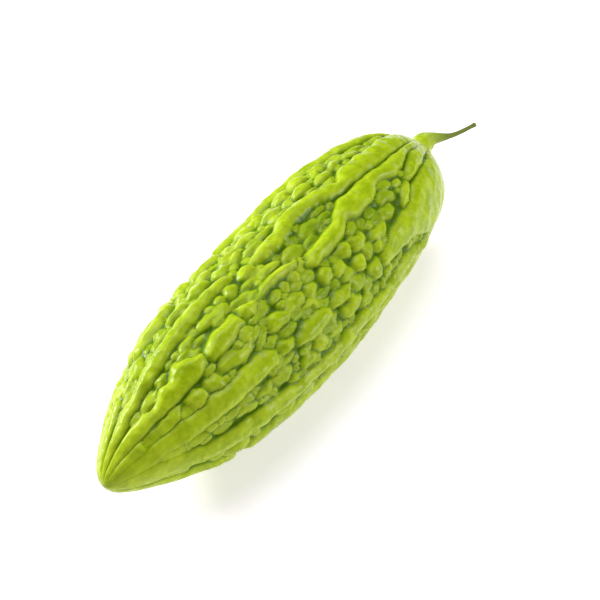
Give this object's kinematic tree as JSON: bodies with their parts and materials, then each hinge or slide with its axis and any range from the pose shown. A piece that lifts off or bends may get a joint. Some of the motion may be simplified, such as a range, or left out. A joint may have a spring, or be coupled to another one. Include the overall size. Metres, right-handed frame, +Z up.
{
  "type": "bitter melon",
  "caption": "Plump green bitter melon with lengthwise ridges, rows of warts, a tapering blossom tip and a thin bent stem, lying on its side.",
  "frame": {"origin": "on the surface it lies on, under the middle of its bounding box", "axes": "+X along the pod from the blossom tip towards the stem, +Z up, so -Y is the side seen in the picture"},
  "size_m": [0.2416, 0.0644, 0.0628],
  "materials": {
    "melon_skin": "waxy satin plant skin, lime green, darker in the grooves",
    "stem_skin": "matt green to olive stalk, brownish at the cut end"
  },
  "bodies": {
    "root": {"fruit": "melon_skin", "stem": "stem_skin"}
  },
  "joints": []
}
